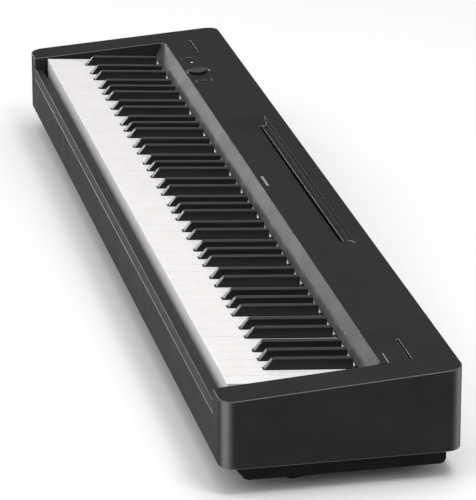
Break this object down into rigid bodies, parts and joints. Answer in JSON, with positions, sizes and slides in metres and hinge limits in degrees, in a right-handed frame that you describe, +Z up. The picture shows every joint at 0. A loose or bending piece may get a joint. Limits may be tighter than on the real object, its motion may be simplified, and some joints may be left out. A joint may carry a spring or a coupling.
{
  "type": "digital piano",
  "caption": "Slim portable digital piano with a full weighted keyboard, sloping fallboard strip, end blocks, music-rest trough, volume knob and buttons, on rubber feet.",
  "frame": {"origin": "centre of the instrument's outline at the bottom of its feet", "axes": "+X to the treble end, +Y to the rear, +Z up"},
  "size_m": [1.326, 0.268, 0.129],
  "materials": {
    "case": "fine moulded texture, black",
    "strip": "satin dark grey",
    "slip": "satin black",
    "tray": "moulded texture, black",
    "rubber": "matt black",
    "screw_steel": "zinc plated",
    "insert_brass": "plain",
    "frame_steel": "galvanised sheet",
    "rail_plastic": "plain moulding",
    "felt": "dense felt",
    "rod_steel": "ground rod",
    "board": "solder mask",
    "contact_rubber": "silicone",
    "pot": "plain",
    "knob": "satin black",
    "button": "satin black",
    "lamp": "translucent white",
    "socket": "gloss moulding",
    "socket_shell": "tinned",
    "speaker_frame": "plain moulding",
    "cone": "treated paper",
    "ribbon": "grey ribbon cable",
    "white_key": "satin white",
    "black_key": "fine matt black",
    "hammer_steel": "blackened sheet steel"
  },
  "bodies": {
    "case": {"upper_case": "case", "fallboard": "strip", "key_slip": "slip", "lower_case": "tray", "rubber_feet": "rubber", "case_screws": "screw_steel", "stand_inserts": "insert_brass", "keyboard_frame": "frame_steel", "key_guide_rail": "rail_plastic", "key_stop_felt": "felt", "key_pivot_rail": "rail_plastic", "pivot_rods": "rod_steel", "hammer_rail": "rail_plastic", "hammer_felts": "felt", "contact_board": "board", "contact_rubber": "contact_rubber", "panel_board": "board", "volume_pot": "pot", "standby_lamp": "lamp", "main_board": "board", "jack_board": "board", "jack_plate": "socket", "phones_jack": "socket", "pedal_jack": "socket", "dc_inlet": "socket", "usb_port": "socket_shell", "speaker_frames": "speaker_frame", "speaker_cones": "cone", "wiring_ribbons": "ribbon"},
    "knob": {"volume_knob": "knob"},
    "standby": {"standby_button": "button"},
    "function": {"function_button": "button"},
    "white_keys_1": {"white_keys_1": "white_key"},
    "white_hammers_1": {"white_hammers_1": "hammer_steel"},
    "black_keys_1": {"black_keys_1": "black_key"},
    "black_hammers_1": {"black_hammers_1": "hammer_steel"},
    "white_keys_2": {"white_keys_2": "white_key"},
    "white_hammers_2": {"white_hammers_2": "hammer_steel"},
    "black_keys_2": {"black_keys_2": "black_key"},
    "black_hammers_2": {"black_hammers_2": "hammer_steel"},
    "white_keys_3": {"white_keys_3": "white_key"},
    "white_hammers_3": {"white_hammers_3": "hammer_steel"},
    "black_keys_3": {"black_keys_3": "black_key"},
    "black_hammers_3": {"black_hammers_3": "hammer_steel"},
    "white_keys_4": {"white_keys_4": "white_key"},
    "white_hammers_4": {"white_hammers_4": "hammer_steel"},
    "black_keys_4": {"black_keys_4": "black_key"},
    "black_hammers_4": {"black_hammers_4": "hammer_steel"},
    "white_keys_5": {"white_keys_5": "white_key"},
    "white_hammers_5": {"white_hammers_5": "hammer_steel"},
    "black_keys_5": {"black_keys_5": "black_key"},
    "black_hammers_5": {"black_hammers_5": "hammer_steel"},
    "white_keys_6": {"white_keys_6": "white_key"},
    "white_hammers_6": {"white_hammers_6": "hammer_steel"},
    "black_keys_6": {"black_keys_6": "black_key"},
    "black_hammers_6": {"black_hammers_6": "hammer_steel"},
    "white_keys_7": {"white_keys_7": "white_key"},
    "white_hammers_7": {"white_hammers_7": "hammer_steel"},
    "black_keys_7": {"black_keys_7": "black_key"},
    "black_hammers_7": {"black_hammers_7": "hammer_steel"}
  },
  "joints": [
    {"name": "volume_turn", "type": "hinge", "parent": "case", "child": "knob", "pos_m": [-0.468, 0.069, 0.12463], "axis": [0, -0.067, 0.9978], "range_deg": [-150, 150]},
    {"name": "standby_press", "type": "slide", "parent": "case", "child": "standby", "axis": [0, 0.067, -0.9978], "range_m": [0, 0.0012], "stiffness_N_per_m": 600, "springref_m": -0.001},
    {"name": "function_press", "type": "slide", "parent": "case", "child": "function", "axis": [0, 0.067, -0.9978], "range_m": [0, 0.0012], "stiffness_N_per_m": 600, "springref_m": -0.001},
    {"name": "white_press_1", "type": "hinge", "parent": "case", "child": "white_keys_1", "pos_m": [0, 0.078, 0.1], "axis": [1, 0, 0], "range_deg": [0, 3], "stiffness_Nm_per_rad": 2.25, "springref_deg": -17.19},
    {"name": "white_hammer_1", "type": "hinge", "parent": "case", "child": "white_hammers_1", "pos_m": [0, -0.01, 0.06], "axis": [1, 0, 0], "range_deg": [0, 7.5]},
    {"name": "black_press_1", "type": "hinge", "parent": "case", "child": "black_keys_1", "pos_m": [0, 0.078, 0.1], "axis": [1, 0, 0], "range_deg": [0, 3], "stiffness_Nm_per_rad": 1.5, "springref_deg": -17.19},
    {"name": "black_hammer_1", "type": "hinge", "parent": "case", "child": "black_hammers_1", "pos_m": [0, -0.01, 0.06], "axis": [1, 0, 0], "range_deg": [0, 9]},
    {"name": "white_press_2", "type": "hinge", "parent": "case", "child": "white_keys_2", "pos_m": [0, 0.078, 0.1], "axis": [1, 0, 0], "range_deg": [0, 3], "stiffness_Nm_per_rad": 1.75, "springref_deg": -17.19},
    {"name": "white_hammer_2", "type": "hinge", "parent": "case", "child": "white_hammers_2", "pos_m": [0, -0.01, 0.06], "axis": [1, 0, 0], "range_deg": [0, 7.5]},
    {"name": "black_press_2", "type": "hinge", "parent": "case", "child": "black_keys_2", "pos_m": [0, 0.078, 0.1], "axis": [1, 0, 0], "range_deg": [0, 3], "stiffness_Nm_per_rad": 1.25, "springref_deg": -17.19},
    {"name": "black_hammer_2", "type": "hinge", "parent": "case", "child": "black_hammers_2", "pos_m": [0, -0.01, 0.06], "axis": [1, 0, 0], "range_deg": [0, 9]},
    {"name": "white_press_3", "type": "hinge", "parent": "case", "child": "white_keys_3", "pos_m": [0, 0.078, 0.1], "axis": [1, 0, 0], "range_deg": [0, 3], "stiffness_Nm_per_rad": 1.75, "springref_deg": -17.19},
    {"name": "white_hammer_3", "type": "hinge", "parent": "case", "child": "white_hammers_3", "pos_m": [0, -0.01, 0.06], "axis": [1, 0, 0], "range_deg": [0, 7.5]},
    {"name": "black_press_3", "type": "hinge", "parent": "case", "child": "black_keys_3", "pos_m": [0, 0.078, 0.1], "axis": [1, 0, 0], "range_deg": [0, 3], "stiffness_Nm_per_rad": 1.25, "springref_deg": -17.19},
    {"name": "black_hammer_3", "type": "hinge", "parent": "case", "child": "black_hammers_3", "pos_m": [0, -0.01, 0.06], "axis": [1, 0, 0], "range_deg": [0, 9]},
    {"name": "white_press_4", "type": "hinge", "parent": "case", "child": "white_keys_4", "pos_m": [0, 0.078, 0.1], "axis": [1, 0, 0], "range_deg": [0, 3], "stiffness_Nm_per_rad": 1.75, "springref_deg": -17.19},
    {"name": "white_hammer_4", "type": "hinge", "parent": "case", "child": "white_hammers_4", "pos_m": [0, -0.01, 0.06], "axis": [1, 0, 0], "range_deg": [0, 7.5]},
    {"name": "black_press_4", "type": "hinge", "parent": "case", "child": "black_keys_4", "pos_m": [0, 0.078, 0.1], "axis": [1, 0, 0], "range_deg": [0, 3], "stiffness_Nm_per_rad": 1.25, "springref_deg": -17.19},
    {"name": "black_hammer_4", "type": "hinge", "parent": "case", "child": "black_hammers_4", "pos_m": [0, -0.01, 0.06], "axis": [1, 0, 0], "range_deg": [0, 9]},
    {"name": "white_press_5", "type": "hinge", "parent": "case", "child": "white_keys_5", "pos_m": [0, 0.078, 0.1], "axis": [1, 0, 0], "range_deg": [0, 3], "stiffness_Nm_per_rad": 1.75, "springref_deg": -17.19},
    {"name": "white_hammer_5", "type": "hinge", "parent": "case", "child": "white_hammers_5", "pos_m": [0, -0.01, 0.06], "axis": [1, 0, 0], "range_deg": [0, 7.5]},
    {"name": "black_press_5", "type": "hinge", "parent": "case", "child": "black_keys_5", "pos_m": [0, 0.078, 0.1], "axis": [1, 0, 0], "range_deg": [0, 3], "stiffness_Nm_per_rad": 1.25, "springref_deg": -17.19},
    {"name": "black_hammer_5", "type": "hinge", "parent": "case", "child": "black_hammers_5", "pos_m": [0, -0.01, 0.06], "axis": [1, 0, 0], "range_deg": [0, 9]},
    {"name": "white_press_6", "type": "hinge", "parent": "case", "child": "white_keys_6", "pos_m": [0, 0.078, 0.1], "axis": [1, 0, 0], "range_deg": [0, 3], "stiffness_Nm_per_rad": 1.75, "springref_deg": -17.19},
    {"name": "white_hammer_6", "type": "hinge", "parent": "case", "child": "white_hammers_6", "pos_m": [0, -0.01, 0.06], "axis": [1, 0, 0], "range_deg": [0, 7.5]},
    {"name": "black_press_6", "type": "hinge", "parent": "case", "child": "black_keys_6", "pos_m": [0, 0.078, 0.1], "axis": [1, 0, 0], "range_deg": [0, 3], "stiffness_Nm_per_rad": 1.25, "springref_deg": -17.19},
    {"name": "black_hammer_6", "type": "hinge", "parent": "case", "child": "black_hammers_6", "pos_m": [0, -0.01, 0.06], "axis": [1, 0, 0], "range_deg": [0, 9]},
    {"name": "white_press_7", "type": "hinge", "parent": "case", "child": "white_keys_7", "pos_m": [0, 0.078, 0.1], "axis": [1, 0, 0], "range_deg": [0, 3], "stiffness_Nm_per_rad": 2, "springref_deg": -17.19},
    {"name": "white_hammer_7", "type": "hinge", "parent": "case", "child": "white_hammers_7", "pos_m": [0, -0.01, 0.06], "axis": [1, 0, 0], "range_deg": [0, 7.5]},
    {"name": "black_press_7", "type": "hinge", "parent": "case", "child": "black_keys_7", "pos_m": [0, 0.078, 0.1], "axis": [1, 0, 0], "range_deg": [0, 3], "stiffness_Nm_per_rad": 1.25, "springref_deg": -17.19},
    {"name": "black_hammer_7", "type": "hinge", "parent": "case", "child": "black_hammers_7", "pos_m": [0, -0.01, 0.06], "axis": [1, 0, 0], "range_deg": [0, 9]}
  ],
  "couplings": [
    {"joint": "white_hammer_1", "follows": "white_press_1", "ratio": 2.4},
    {"joint": "black_hammer_1", "follows": "black_press_1", "ratio": 2.9},
    {"joint": "white_hammer_2", "follows": "white_press_2", "ratio": 2.4},
    {"joint": "black_hammer_2", "follows": "black_press_2", "ratio": 2.9},
    {"joint": "white_hammer_3", "follows": "white_press_3", "ratio": 2.4},
    {"joint": "black_hammer_3", "follows": "black_press_3", "ratio": 2.9},
    {"joint": "white_hammer_4", "follows": "white_press_4", "ratio": 2.4},
    {"joint": "black_hammer_4", "follows": "black_press_4", "ratio": 2.9},
    {"joint": "white_hammer_5", "follows": "white_press_5", "ratio": 2.4},
    {"joint": "black_hammer_5", "follows": "black_press_5", "ratio": 2.9},
    {"joint": "white_hammer_6", "follows": "white_press_6", "ratio": 2.4},
    {"joint": "black_hammer_6", "follows": "black_press_6", "ratio": 2.9},
    {"joint": "white_hammer_7", "follows": "white_press_7", "ratio": 2.4},
    {"joint": "black_hammer_7", "follows": "black_press_7", "ratio": 2.9}
  ]
}
